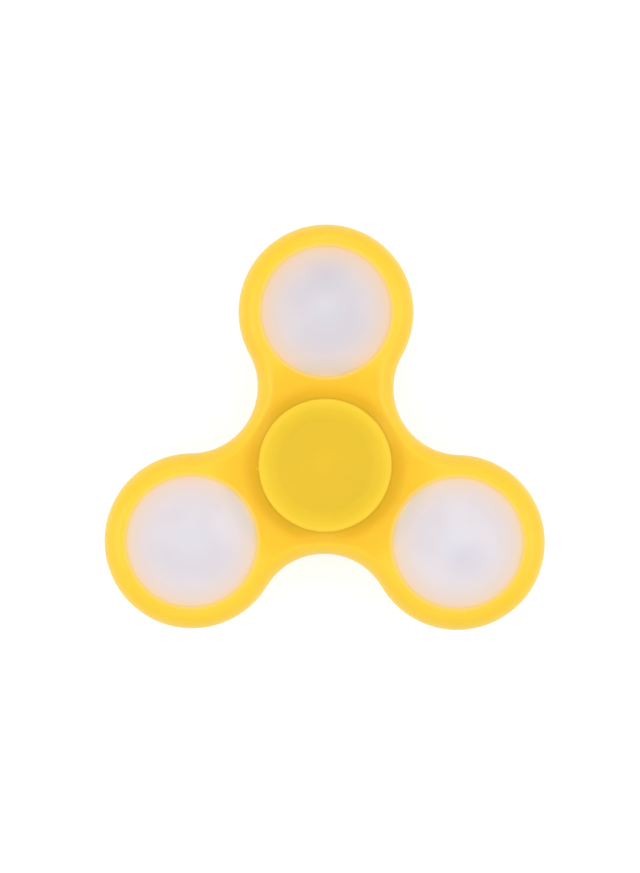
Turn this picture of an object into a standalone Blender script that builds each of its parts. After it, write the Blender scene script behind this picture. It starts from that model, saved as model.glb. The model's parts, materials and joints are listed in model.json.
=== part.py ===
"""A light-up hand spinner: a three-lobed rotor that turns on a ball bearing between two finger pads.

Each lobe holds a round light pod: a frosted lens and a rear cover that close on a rib in the lobe, with a
circuit board, three LEDs, a coin cell and a push button inside. The origin is the centre of the bearing, and
+Z is the spin axis, towards the lens side. Sizes are in millimetres, and meshes and places become metres as
they are made.
"""

import math

import bmesh
import bpy
from mathutils import Matrix, Vector

MM = 0.001
TOUCH = 0.05  # gap between pieces that rest on each other
ROOM = 0.1  # gap round pieces that pass through a hole or a slot
PAST = 1.0  # how far a cutter reaches past the face that it cuts
MERGE = 0.0001

# Rotor body: three round lobes joined by hollow waists
LOBE_COUNT = 3
LOBE_DISTANCE = 26.1
LOBE_RADIUS = 14.9
WAIST_DISTANCE = 15.1  # from the spin axis to the nearest point of a waist
BODY_HALF = 5.5
EDGE_INSET = 3.6  # the rounded edge, across and along the spin axis
EDGE_HEIGHT = 4.6
DISH_RADIUS = 14.6  # the shallow dish round the hub, front and rear
DISH_DEPTH = 0.65
HUB_LIP_RADIUS = 10.0  # the lip behind the bearing
HUB_LIP_Z = -3.6

# Ball bearing, size 608
BEARING_BORE = 4.0
BEARING_RADIUS = 11.0
BEARING_HALF = 3.5
RACE_CHAMFER = 0.3
PITCH_RADIUS = 7.5
GROOVE_RADIUS = 2.09
INNER_SHOULDER = 6.05
OUTER_SHOULDER = 8.95
BALL_COUNT = 7
BALL_RADIUS = 1.984
SHIELD_INNER = 6.3
SHIELD_SEAT = 9.75
SHIELD_Z = 2.5
SHIELD_THICK = 0.35
CAGE_INNER = 6.55
CAGE_OUTER = 8.45
CAGE_THICK = 0.3
POCKET_RADIUS = 2.1

# Finger pads
PAD_RADIUS = 11.3
PAD_CREST = 7.5
PAD_UNDER = 5.25
PAD_UNDER_CHAMFER = 0.2
PAD_FLOOR = 6.8  # the flat floor of the thumb dish
PAD_FLOOR_RADIUS = 7.2
PAD_CREST_INNER = 10.4
PAD_CREST_OUTER = 10.8
PAD_BOSS = 5.6
PAD_STEM = BEARING_BORE - TOUCH
STEM_END = 0.15
PIN_RADIUS = 2.0
PIN_END = 5.0
SOCKET_RADIUS = 2.1
SOCKET_END = 5.2

# Light pods
POD_BORE = 11.1
POD_MOUTH = 0.15
RIB_RADIUS = 10.25
RIB_HALF = 0.6
POD_RADIUS = POD_BORE - TOUCH
SHELL_END = RIB_HALF + TOUCH
CROWN = 6.1
CROWN_EDGE = 5.6
SHELL_CHAMFER = 0.2
SHELL_INSIDE = 4.9
LENS_SKIRT_INNER = 10.2
LENS_CORNER = 0.6
LENS_CORNER_Z = 3.8
COVER_WALL_INNER = 9.8
COLLAR_OUTER = 10.15
COLLAR_INNER = 9.35
COLLAR_END = 2.6
LEDGE_RADIUS = 8.6  # the ledge that the board lies on, and the slope that leads to it
LEDGE_FOOT = 2.2
SLOPE_FOOT = 3.1
BOARD_RADIUS = 9.25
BOARD_FRONT = -0.8
BOARD_REAR = -1.6
CELL_RADIUS = 6.25
CELL_HEIGHT = 2.0
CELL_CAP_RADIUS = 5.1  # the smaller face that touches the board
CELL_CAP_HEIGHT = 0.15
CELL_ROUNDING = 0.25
CLIP_WIDTH = 3.5
CLIP_REACH = 6.6
CLIP_THICK = 0.2
CLIP_FOOT = 0.3  # how far its legs reach past the board
LED_SIZE = (2.0, 3.0, 1.3)
LED_WINDOW_SHARE = 0.7
LED_WINDOW_DEPTH = 0.2
LED_DISTANCE = 7.7
LED_COUNT = 3
CONTROLLER_RADIUS = 2.4
CONTROLLER_HEIGHT = 1.1
CONTROLLER_Y = -5.6
SWITCH_SIDE = 4.5
SWITCH_END = -3.25
SWITCH_FLOOR = -2.05
SWITCH_POCKET = 1.65
SWITCH_COVER_THICK = 0.15
DOME_RADIUS = 1.5
DOME_APEX = -2.65
DOME_THICK = 0.1
PLUNGER_FLANGE = 1.5
PLUNGER_STEM = 1.1
PLUNGER_END = -4.0
BUTTON_HOLE = 2.55
BUTTON_RADIUS = 2.4
BUTTON_FLANGE = 3.3
BUTTON_FLANGE_THICK = 0.4
BUTTON_STEM = 1.3
BUTTON_END = -6.6

# Facets round a circle
ROUND = 30
MEDIUM = 20
SMALL = 12


def clear_scene():
    for obj in list(bpy.data.objects):
        bpy.data.objects.remove(obj, do_unlink=True)


def material(name, colour, roughness, metallic=0.0):
    finish = bpy.data.materials.new(name)
    finish.use_nodes = True
    shader = finish.node_tree.nodes["Principled BSDF"]
    shader.inputs["Base Color"].default_value = (*colour, 1.0)
    shader.inputs["Roughness"].default_value = roughness
    shader.inputs["Metallic"].default_value = metallic
    return finish


# Mesh making


def mesh_from(shape, name):
    """The finished shape as a mesh in metres, with its faces pointing out."""
    bmesh.ops.recalc_face_normals(shape, faces=shape.faces)
    shape.transform(Matrix.Scale(MM, 4))
    mesh = bpy.data.meshes.new(name)
    shape.to_mesh(mesh)
    shape.free()
    return mesh


def arc(centre, radius, start, end, steps):
    """Points of an arc between two angles in degrees."""
    angles = [math.radians(start + (end - start) * i / steps) for i in range(steps + 1)]
    return [(centre[0] + radius * math.cos(a), centre[1] + radius * math.sin(a)) for a in angles]


def flipped(profile):
    """The same profile on the other side of the mid-plane."""
    return [(r, -z) for r, z in reversed(profile)]


def turned(name, profile, segments=ROUND):
    """A closed profile of (radius, z) points, spun round the Z axis."""
    shape = bmesh.new()
    points = [shape.verts.new((r, 0, z)) for r, z in profile]
    sides = zip(points, points[1:] + points[:1])
    edges = [shape.edges.new(side) for side in sides if side[0].co.x > 0 or side[1].co.x > 0]
    full = {"cent": (0, 0, 0), "axis": (0, 0, 1), "angle": math.tau, "steps": segments}
    bmesh.ops.spin(shape, geom=points + edges, use_merge=True, **full)
    bmesh.ops.remove_doubles(shape, verts=shape.verts, dist=MERGE)
    return mesh_from(shape, name)


def lofted(name, rings, closed=False):
    """Faces from ring to ring. The ends are capped, or joined to each other if closed."""
    shape = bmesh.new()
    rows = [[shape.verts.new(point) for point in ring] for ring in rings]
    after = rows[1:] + rows[:1] if closed else rows[1:]
    for row, following in zip(rows, after):
        for i, corner in enumerate(row):
            j = (i + 1) % len(row)
            shape.faces.new((corner, row[j], following[j], following[i]))
    if not closed:
        shape.faces.new(rows[0])
        shape.faces.new(rows[-1])
    return mesh_from(shape, name)


def block(name, size, low_z, x=0.0):
    """A box that stands on low_z."""
    shape = bmesh.new()
    centre = Vector((x, 0, low_z + size[2] / 2))
    bmesh.ops.create_cube(shape, size=1, matrix=Matrix.LocRotScale(centre, None, Vector(size)))
    return mesh_from(shape, name)


def placed(mesh, x, y, turn):
    """A copy of the mesh, turned about the Z axis and moved across."""
    copy = mesh.copy()
    copy.transform(Matrix.Translation((x * MM, y * MM, 0)) @ Matrix.Rotation(turn, 4, "Z"))
    return copy


def carved(solid, *cutters):
    """The solid with every cutter taken out of it."""
    collection = bpy.context.scene.collection
    stock = bpy.data.objects.new("stock", solid)
    collection.objects.link(stock)
    tools = [bpy.data.objects.new("cutter", mesh) for mesh in cutters]
    for tool in tools:
        collection.objects.link(tool)
        cut = stock.modifiers.new("cut", "BOOLEAN")
        cut.operation = "DIFFERENCE"
        cut.solver = "EXACT"
        cut.object = tool
    graph = bpy.context.evaluated_depsgraph_get()
    mesh = bpy.data.meshes.new_from_object(stock.evaluated_get(graph))
    for obj in [stock, *tools]:
        bpy.data.objects.remove(obj)
    return mesh


# Placing


def group(name, parent=None, x=0.0, y=0.0, turn=0.0):
    """An empty that carries pieces."""
    empty = bpy.data.objects.new(name, None)
    bpy.context.scene.collection.objects.link(empty)
    empty.parent = parent
    empty.location = (x * MM, y * MM, 0)
    empty.rotation_euler = (0, 0, turn)
    return empty


def add(name, mesh, finish, parent, x=0.0, y=0.0, turn=0.0):
    """A named piece. Pieces that are alike share one mesh."""
    if not mesh.materials:
        mesh.materials.append(finish)
        mesh.shade_smooth()
        mesh.set_sharp_from_angle(angle=math.radians(32))
    piece = bpy.data.objects.new(name, mesh)
    bpy.context.scene.collection.objects.link(piece)
    piece.parent = parent
    piece.location = (x * MM, y * MM, 0)
    piece.rotation_euler = (0, 0, turn)
    return piece


def lobe_angle(index):
    """Direction of a lobe from the spin axis. The first one points along +Y."""
    return math.tau * (0.25 + index / LOBE_COUNT)


def lobe_place(index):
    """Where a lobe's centre is, and how far its pod is turned from the first one's."""
    angle = lobe_angle(index)
    return LOBE_DISTANCE * math.cos(angle), LOBE_DISTANCE * math.sin(angle), angle - lobe_angle(0)


# Rotor body


def outline(inset, height):
    """The lobed outline moved inwards by inset. Each waist is an arc that touches the lobes beside it."""
    spare = LOBE_RADIUS - WAIST_DISTANCE
    waist_centre = (LOBE_DISTANCE**2 - spare**2) / (LOBE_DISTANCE + 2 * spare)
    waist_radius = waist_centre - WAIST_DISTANCE
    step = math.pi / LOBE_COUNT
    lobe_half = math.atan2(waist_centre * math.sin(step), waist_centre * math.cos(step) - LOBE_DISTANCE)
    waist_half = lobe_half - step
    lobe_steps, waist_steps = 16, 6
    points = []
    for k in range(LOBE_COUNT):
        lobe, waist = lobe_angle(k), lobe_angle(k) + step
        x, y = LOBE_DISTANCE * math.cos(lobe), LOBE_DISTANCE * math.sin(lobe)
        sweep = [math.degrees(lobe - lobe_half), math.degrees(lobe + lobe_half)]
        points += arc((x, y), LOBE_RADIUS - inset, *sweep, lobe_steps)
        x, y = waist_centre * math.cos(waist), waist_centre * math.sin(waist)
        sweep = [math.degrees(waist + math.pi + waist_half), math.degrees(waist + math.pi - waist_half)]
        points += arc((x, y), waist_radius + inset, *sweep, waist_steps)[1:-1]
    return [(x, y, height) for x, y in points]


def body_blank():
    """The solid outline with its rounded edges."""
    steps = 4
    turns = [math.pi / 2 * i / steps for i in range(steps + 1)]
    edge = [(EDGE_INSET * (1 - math.cos(t)), BODY_HALF - EDGE_HEIGHT * (1 - math.sin(t))) for t in turns]
    front = [outline(inset, height) for inset, height in edge]
    rear = [outline(inset, -height) for inset, height in reversed(edge)]
    return lofted("spinner_body", rear + front)


def hub_cutter():
    """The bearing's seat with its rear lip, and the shallow dish on both faces."""
    steps = 4
    bore = BEARING_RADIUS + TOUCH
    above = BODY_HALF + PAST
    dish = [(DISH_RADIUS, above)]
    for i in range(steps + 1):
        radius = DISH_RADIUS + (bore - DISH_RADIUS) * i / steps
        fall = (1 - math.cos(math.pi * i / steps)) / 2
        dish.append((radius, BODY_HALF + TOUCH - (DISH_DEPTH + TOUCH) * fall))
    rear = flipped(dish)
    rear[0] = (HUB_LIP_RADIUS, rear[0][1])
    seat = [(HUB_LIP_RADIUS, HUB_LIP_Z), (bore, HUB_LIP_Z)]
    return turned("hub_cutter", [(0, above)] + dish + seat[::-1] + rear + [(0, -above)])


def pod_cutter():
    """A lobe's bore: straight walls with a rib half way and a rounded mouth at each end."""
    past = 0.6
    mouth = POD_BORE + POD_MOUTH + past
    half = [
        (mouth, BODY_HALF + past),
        (POD_BORE, BODY_HALF - POD_MOUTH),
        (POD_BORE, RIB_HALF),
        (RIB_RADIUS, RIB_HALF),
    ]
    return turned("pod_cutter", [(0, BODY_HALF + past)] + half + flipped(half) + [(0, -BODY_HALF - past)])


def spinner_body(rotor, finish):
    bore = pod_cutter()
    bores = [placed(bore, *lobe_place(k)) for k in range(LOBE_COUNT)]
    add("spinner_body", carved(body_blank(), hub_cutter(), *bores), finish, rotor)


# Bearing


def groove(shoulder):
    """The arc of a ball groove, from its front edge to its rear edge, as the shoulder cuts it."""
    reach = math.degrees(math.acos(abs(shoulder - PITCH_RADIUS) / GROOVE_RADIUS))
    middle = 180 if shoulder < PITCH_RADIUS else 0
    sweep = -reach if shoulder > PITCH_RADIUS else reach
    return arc((PITCH_RADIUS, 0), GROOVE_RADIUS, middle - sweep, middle + sweep, 4)


def inner_race():
    chamfered = [
        (BEARING_BORE, BEARING_HALF - RACE_CHAMFER),
        (BEARING_BORE + RACE_CHAMFER, BEARING_HALF),
        (INNER_SHOULDER - RACE_CHAMFER, BEARING_HALF),
        (INNER_SHOULDER, BEARING_HALF - RACE_CHAMFER),
    ]
    return turned("bearing_inner_race", chamfered + groove(INNER_SHOULDER) + flipped(chamfered))


def outer_race():
    stepped = [
        (BEARING_RADIUS, BEARING_HALF - RACE_CHAMFER),
        (BEARING_RADIUS - RACE_CHAMFER, BEARING_HALF),
        (SHIELD_SEAT, BEARING_HALF),
        (SHIELD_SEAT, SHIELD_Z),
        (OUTER_SHOULDER, SHIELD_Z),
    ]
    return turned("bearing_outer_race", stepped + groove(OUTER_SHOULDER) + flipped(stepped))


def shield():
    low, high = SHIELD_Z + TOUCH, SHIELD_Z + TOUCH + SHIELD_THICK
    outer = SHIELD_SEAT - TOUCH
    return [(SHIELD_INNER, low), (outer, low), (outer, high), (SHIELD_INNER, high)]


def cage_half(name, side):
    """A pressed ribbon: a pocket over each ball, and flat lands between them where the halves are joined."""
    steps = 6
    inner_start = math.degrees(math.asin(TOUCH / POCKET_RADIUS))
    outer_start = math.degrees(math.asin((TOUCH + CAGE_THICK) / (POCKET_RADIUS + CAGE_THICK)))
    inner = arc((0, 0), POCKET_RADIUS, 180 - inner_start, inner_start, steps)
    outer = arc((0, 0), POCKET_RADIUS + CAGE_THICK, 180 - outer_start, outer_start, steps)
    rings = []
    for k in range(BALL_COUNT):
        for low, high in zip(inner, outer):
            low_turn = ball_angle(k) + low[0] / PITCH_RADIUS
            high_turn = ball_angle(k) + high[0] / PITCH_RADIUS
            corners = [(CAGE_INNER, low_turn, low[1]), (CAGE_OUTER, low_turn, low[1])]
            corners += [(CAGE_OUTER, high_turn, high[1]), (CAGE_INNER, high_turn, high[1])]
            rings.append([(r * math.cos(a), r * math.sin(a), side * z) for r, a, z in corners])
    return lofted(name, rings, closed=True)


def ball_angle(index):
    return math.tau * (0.25 + index / BALL_COUNT)


def ball():
    shape = bmesh.new()
    bmesh.ops.create_uvsphere(shape, u_segments=SMALL, v_segments=SMALL // 2, radius=BALL_RADIUS)
    return mesh_from(shape, "bearing_ball")


def bearing(hub, rotor, steel, plate):
    add("bearing_inner_race", inner_race(), steel, hub)
    add("bearing_outer_race", outer_race(), steel, rotor)
    add("bearing_shield_front", turned("bearing_shield_front", shield()), plate, rotor)
    add("bearing_shield_rear", turned("bearing_shield_rear", flipped(shield())), plate, rotor)
    cage = group("cage", hub)
    add("bearing_cage_front", cage_half("bearing_cage_front", 1), plate, cage)
    add("bearing_cage_rear", cage_half("bearing_cage_rear", -1), plate, cage)
    mesh = ball()
    for k in range(BALL_COUNT):
        x, y = PITCH_RADIUS * math.cos(ball_angle(k)), PITCH_RADIUS * math.sin(ball_angle(k))
        add(f"bearing_ball_{k + 1}", mesh, steel, cage, x, y)


# Finger pads


def pad_outside():
    """From the flat floor of the thumb dish, over the crest and the edge, down to the stem."""
    rise = []
    steps = 3
    for i in range(steps + 1):
        lift = (1 - math.cos(math.pi * i / steps)) / 2
        radius = PAD_FLOOR_RADIUS + (PAD_CREST_INNER - PAD_FLOOR_RADIUS) * i / steps
        rise.append((radius, PAD_FLOOR + (PAD_CREST - PAD_FLOOR) * lift))
    rounding = PAD_RADIUS - PAD_CREST_OUTER
    edge = arc((PAD_CREST_OUTER, PAD_CREST - rounding), rounding, 90, 0, 2)
    under = [(PAD_RADIUS, PAD_UNDER + PAD_UNDER_CHAMFER), (PAD_RADIUS - PAD_UNDER_CHAMFER, PAD_UNDER)]
    rest = BEARING_HALF + TOUCH
    boss = [(PAD_BOSS, PAD_UNDER), (PAD_BOSS, rest), (PAD_STEM, rest), (PAD_STEM, STEM_END)]
    return [(0, PAD_FLOOR)] + rise + edge + under + boss


def finger_pads(hub, finish):
    """The rear pad's pin presses into the front pad's socket, and their stems meet inside the bearing."""
    socket = [(SOCKET_RADIUS, STEM_END), (SOCKET_RADIUS, SOCKET_END), (0, SOCKET_END)]
    pin = [(PIN_RADIUS, STEM_END), (PIN_RADIUS, -PIN_END), (0, -PIN_END)]
    add("front_finger_pad", turned("front_finger_pad", pad_outside() + socket), finish, hub)
    add("rear_finger_pad", turned("rear_finger_pad", flipped(pad_outside() + pin)), finish, hub)


# Light pods


def crown():
    """The domed face that a pod shell shows, from its wall to its middle."""
    steps = 4
    start = POD_RADIUS - SHELL_CHAMFER
    points = [(POD_RADIUS, CROWN_EDGE - SHELL_CHAMFER), (start, CROWN_EDGE)]
    for i in range(1, steps + 1):
        radius = start * (1 - i / steps)
        points.append((radius, CROWN - (CROWN - CROWN_EDGE) * (radius / start) ** 2))
    return points


def lens():
    """A frosted cup that opens to the rear."""
    corner = arc((LENS_SKIRT_INNER - LENS_CORNER, LENS_CORNER_Z), LENS_CORNER, 90, 0, 2)
    skirt = [(LENS_SKIRT_INNER, SHELL_END), (POD_RADIUS, SHELL_END)]
    return turned("lens", crown() + [(0, SHELL_INSIDE)] + corner + skirt)


def rear_cover():
    """A domed plate with a button hole, a wall up to the rib, and a collar in the lens that holds the board."""
    face = [(r, z) for r, z in crown() if r > BUTTON_HOLE] + [(BUTTON_HOLE, CROWN)]
    ledge = -BOARD_REAR + TOUCH
    inside = [
        (BUTTON_HOLE, SHELL_INSIDE),
        (COVER_WALL_INNER, SHELL_INSIDE),
        (COVER_WALL_INNER, SLOPE_FOOT),
        (LEDGE_RADIUS, LEDGE_FOOT),
        (LEDGE_RADIUS, ledge),
        (COLLAR_INNER, ledge),
        (COLLAR_INNER, -COLLAR_END),
        (COLLAR_OUTER, -COLLAR_END),
        (COLLAR_OUTER, SHELL_END),
        (POD_RADIUS, SHELL_END),
    ]
    return turned("rear_cover", flipped(face + inside))


def board():
    """The round circuit board, with two slots for the legs of the cell clip."""
    disc = [(0, BOARD_REAR), (BOARD_RADIUS, BOARD_REAR), (BOARD_RADIUS, BOARD_FRONT), (0, BOARD_FRONT)]
    slot = (CLIP_THICK + 2 * ROOM, CLIP_WIDTH + 2 * ROOM, BOARD_FRONT - BOARD_REAR + 2 * PAST)
    middle = CLIP_REACH + CLIP_THICK / 2
    slots = [block("slot", slot, BOARD_REAR - PAST, side * middle) for side in (-1, 1)]
    return carved(turned("board", disc), *slots)


def led():
    """A surface-mount LED with a sunken window."""
    length, width, height = LED_SIZE
    low = BOARD_FRONT + TOUCH
    opening = (length * LED_WINDOW_SHARE, width * LED_WINDOW_SHARE, height)
    window = block("window", opening, low + height - LED_WINDOW_DEPTH)
    return carved(block("led", LED_SIZE, low), window)


def coin_cell():
    low = BOARD_FRONT + TOUCH
    high = low + CELL_HEIGHT
    can = low + CELL_CAP_HEIGHT
    inner = CELL_RADIUS - CELL_ROUNDING
    profile = [(0, low), (CELL_CAP_RADIUS, low), (CELL_CAP_RADIUS, can), (inner, can)]
    profile += [(CELL_RADIUS, can + CELL_ROUNDING), (CELL_RADIUS, high - CELL_ROUNDING), (inner, high)]
    profile.append((0, high))
    return turned("coin_cell", profile, MEDIUM)


def cell_clip():
    """A sprung strip over the cell, with a leg through the board on each side."""
    under = BOARD_FRONT + CELL_HEIGHT + 2 * TOUCH
    foot = BOARD_REAR - CLIP_FOOT
    reach = CLIP_REACH + CLIP_THICK
    half = [(CLIP_REACH, under), (CLIP_REACH, foot), (reach, foot), (reach, under + CLIP_THICK)]
    profile = half + [(-x, z) for x, z in reversed(half)]
    return lofted("cell_clip", [[(x, y, z) for x, z in profile] for y in (-CLIP_WIDTH / 2, CLIP_WIDTH / 2)])


def controller():
    """The blob of resin over the control chip, on the rear of the board."""
    low = BOARD_REAR - TOUCH
    quarter = arc((0, 0), 1, 0, -90, 3)
    blob = [(r * CONTROLLER_RADIUS, low + z * CONTROLLER_HEIGHT) for r, z in quarter[:-1]]
    return turned("controller", [(0, low)] + blob + [(0, low - CONTROLLER_HEIGHT)], SMALL)


def switch_base():
    """The square housing of the push switch, open to the rear."""
    low, high = SWITCH_END, BOARD_REAR - TOUCH
    pocket = [(0, low - PAST), (SWITCH_POCKET, low - PAST), (SWITCH_POCKET, SWITCH_FLOOR), (0, SWITCH_FLOOR)]
    housing = block("switch_base", (SWITCH_SIDE, SWITCH_SIDE, high - low), low)
    return carved(housing, turned("pocket", pocket, SMALL))


def switch_cover():
    """The metal plate that keeps the plunger in the switch."""
    low = SWITCH_END - TOUCH - SWITCH_COVER_THICK
    radius = PLUNGER_STEM + ROOM
    hole = [(0, low - PAST), (radius, low - PAST), (radius, low + PAST), (0, low + PAST)]
    plate = block("switch_cover", (SWITCH_SIDE, SWITCH_SIDE, SWITCH_COVER_THICK), low)
    return carved(plate, turned("hole", hole, SMALL))


def switch_dome():
    """The thin snap dome. It flattens towards its rim when the plunger is pressed."""
    rim = SWITCH_FLOOR - TOUCH
    steps = 3
    outside = []
    for i in range(steps + 1):
        radius = DOME_RADIUS * i / steps
        outside.append((radius, DOME_APEX + (rim - DOME_THICK - DOME_APEX) * (i / steps) ** 2))
    inside = [(r, z + DOME_THICK) for r, z in reversed(outside)]
    return turned("switch_dome", outside + inside, SMALL)


def switch_plunger():
    top = DOME_APEX - TOUCH
    flange = [(0, top), (PLUNGER_FLANGE, top), (PLUNGER_FLANGE, SWITCH_END), (PLUNGER_STEM, SWITCH_END)]
    return turned("switch_plunger", flange + [(PLUNGER_STEM, PLUNGER_END), (0, PLUNGER_END)], SMALL)


def button():
    """The push button: a cap through the rear cover, a flange that keeps it in, and a stem on the plunger."""
    flange_low = -SHELL_INSIDE + TOUCH
    flange_high = flange_low + BUTTON_FLANGE_THICK
    rounding = 0.3
    profile = [
        (0, BUTTON_END),
        (BUTTON_RADIUS - rounding, BUTTON_END),
        (BUTTON_RADIUS, BUTTON_END + rounding),
        (BUTTON_RADIUS, flange_low),
        (BUTTON_FLANGE, flange_low),
        (BUTTON_FLANGE, flange_high),
        (BUTTON_STEM, flange_high),
        (BUTTON_STEM, PLUNGER_END - TOUCH),
        (0, PLUNGER_END - TOUCH),
    ]
    return turned("button", profile, 2 * SMALL)


def light_pods(rotor):
    white = material("white_plastic", (0.86, 0.86, 0.88), 0.45)
    green = material("board_green", (0.03, 0.22, 0.09), 0.5)
    resin = material("black_resin", (0.02, 0.02, 0.02), 0.35)
    glow = material("led_cream", (0.9, 0.86, 0.6), 0.3)
    steel = material("cell_steel", (0.7, 0.7, 0.68), 0.28, 1.0)
    black = material("switch_black", (0.03, 0.03, 0.03), 0.5)
    pieces = [
        ("lens", lens(), white),
        ("rear_cover", rear_cover(), white),
        ("button", button(), white),
        ("board", board(), green),
        ("coin_cell", coin_cell(), steel),
        ("cell_clip", cell_clip(), steel),
        ("switch_base", switch_base(), black),
        ("switch_cover", switch_cover(), steel),
        ("switch_dome", switch_dome(), steel),
        ("switch_plunger", switch_plunger(), black),
    ]
    blob, lamp = controller(), led()
    for k in range(LOBE_COUNT):
        pod = group(f"pod_{k + 1}", rotor, *lobe_place(k))
        for name, mesh, finish in pieces:
            add(f"pod_{k + 1}_{name}", mesh, finish, pod)
        add(f"pod_{k + 1}_controller", blob, resin, pod, 0, CONTROLLER_Y)
        for i, letter in enumerate("abc"):
            turn = math.tau * (0.25 + i / LED_COUNT)
            x, y = LED_DISTANCE * math.cos(turn), LED_DISTANCE * math.sin(turn)
            add(f"pod_{k + 1}_led_{letter}", lamp, glow, pod, x, y, turn)


def main():
    clear_scene()
    yellow = material("yellow_plastic", (1.0, 0.66, 0.05), 0.35)
    steel = material("bearing_steel", (0.62, 0.62, 0.62), 0.2, 1.0)
    plate = material("pressed_steel", (0.5, 0.5, 0.5), 0.4, 1.0)
    hub = group("hub")
    rotor = group("rotor", hub)
    spinner_body(rotor, yellow)
    finger_pads(hub, yellow)
    bearing(hub, rotor, steel, plate)
    light_pods(rotor)


main()
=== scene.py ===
import json
from math import acos, asin, atan2, cos, degrees, pi, radians, sin, sqrt, tau

import bmesh
import bpy
from mathutils import Matrix, Vector
from mathutils.geometry import delaunay_2d_cdt


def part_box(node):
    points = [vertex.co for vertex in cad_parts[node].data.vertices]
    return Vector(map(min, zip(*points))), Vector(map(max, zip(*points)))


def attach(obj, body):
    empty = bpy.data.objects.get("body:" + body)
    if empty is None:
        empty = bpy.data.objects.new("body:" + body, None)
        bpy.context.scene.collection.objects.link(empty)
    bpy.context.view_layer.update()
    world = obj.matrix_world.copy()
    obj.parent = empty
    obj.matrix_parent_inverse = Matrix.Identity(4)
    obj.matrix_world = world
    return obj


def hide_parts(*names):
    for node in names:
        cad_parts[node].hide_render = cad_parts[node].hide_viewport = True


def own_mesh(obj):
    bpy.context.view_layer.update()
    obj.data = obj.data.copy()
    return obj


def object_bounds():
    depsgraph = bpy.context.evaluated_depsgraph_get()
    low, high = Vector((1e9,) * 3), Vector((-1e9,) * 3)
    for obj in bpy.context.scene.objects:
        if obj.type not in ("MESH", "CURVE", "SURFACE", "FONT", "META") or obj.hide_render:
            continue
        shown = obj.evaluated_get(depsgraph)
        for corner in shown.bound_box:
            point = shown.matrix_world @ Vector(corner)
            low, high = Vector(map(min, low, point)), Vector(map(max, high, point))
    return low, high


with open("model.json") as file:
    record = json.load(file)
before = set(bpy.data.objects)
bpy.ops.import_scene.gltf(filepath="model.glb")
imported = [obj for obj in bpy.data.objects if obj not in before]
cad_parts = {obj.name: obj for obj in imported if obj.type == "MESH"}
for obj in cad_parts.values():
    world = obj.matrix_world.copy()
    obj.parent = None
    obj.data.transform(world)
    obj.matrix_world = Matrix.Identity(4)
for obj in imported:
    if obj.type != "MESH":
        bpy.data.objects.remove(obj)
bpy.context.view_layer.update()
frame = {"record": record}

MM = 0.001
LOBES = 3
BALLS = 7
BODIES = {node: body for body, nodes in frame["record"]["behaviour"]["bodies"].items() for node in nodes}


def box_mm(node):
    """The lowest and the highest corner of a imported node."""
    low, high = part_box(node)
    return Vector(low) / MM, Vector(high) / MM


def centre_of(node):
    low, high = box_mm(node)
    return (low + high) / 2


_, BODY_HIGH = box_mm("spinner_body")
_, PAD_HIGH = box_mm("front_finger_pad")
_, LENS_HIGH = box_mm("pod_1_lens")
BUTTON_LOW, _ = box_mm("pod_1_button")
FLOOR_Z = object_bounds()[0].z / MM

# Rotor body
LOBE_DISTANCE = centre_of("pod_1_lens").y
LOBE_RADIUS = BODY_HIGH.y - LOBE_DISTANCE
WAIST_DISTANCE = 15.1  # from the spin axis to the nearest point of a waist
BODY_HALF = BODY_HIGH.z
EDGE_INSET = 3.6  # the rounded edge's size across the spin axis, and along it
EDGE_HEIGHT = 4.6
DISH_RADIUS = 14.6  # the shallow dish round the hub, front and rear
DISH_DEPTH = 0.65
HUB_BORE = 11.05
HUB_LIP = 10.0  # the lip behind the bearing
HUB_LIP_Z = -3.6
SEAM_HALF = 0.07  # the mould's parting line round the outside
SEAM_PROUD = 0.03

# Light pods
POD_BORE = 11.1
POD_RADIUS = POD_BORE + 0.005  # the pods are pressed in, so no gap shows round them
MOUTH_FILLET = 0.02
RIB_RADIUS = 10.25
RIB_HALF = 0.6
CROWN = LENS_HIGH.z
CROWN_EDGE = 5.52
SHELL_FILLET = 0.02
SHELL_INSIDE = 4.9
SHELL_END = RIB_HALF + 0.05  # the lens and the rear cover close on the rib from both sides
COLLAR_END = -2.6  # the rear cover's collar goes through the rib and carries the board

# Finger pads
PAD_RADIUS = PAD_HIGH.x
PAD_CREST = PAD_HIGH.z
PAD_FLOOR = 6.8
PAD_FLOOR_RADIUS = 7.2
PAD_CREST_RADIUS = 10.55
PAD_ROUNDING = 0.35
PAD_UNDER = 5.25
PAD_BOSS = 5.6  # the boss rests on the bearing's inner race, and the stem goes into its bore
BOSS_END = 3.55
STEM_RADIUS = 3.95
STEM_TIP = 3.8
STEM_END = 0.15

# Ball bearing, size 608
BEARING_BORE = 4.0
BEARING_RADIUS = 11.0
BEARING_HALF = box_mm("bearing_inner_race")[1].z
RACE_CHAMFER = 0.3
PITCH_RADIUS = 7.5
GROOVE_RADIUS = 2.09
INNER_SHOULDER = 6.05
OUTER_SHOULDER = 8.95
SHIELD_SEAT = 9.75
SHIELD_Z = 2.5
CAGE_INNER = 6.55
CAGE_OUTER = 8.45
CAGE_THICK = 0.3
POCKET_RADIUS = 2.1
TOUCH = 0.05  # gap between pieces that rest on each other

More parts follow.
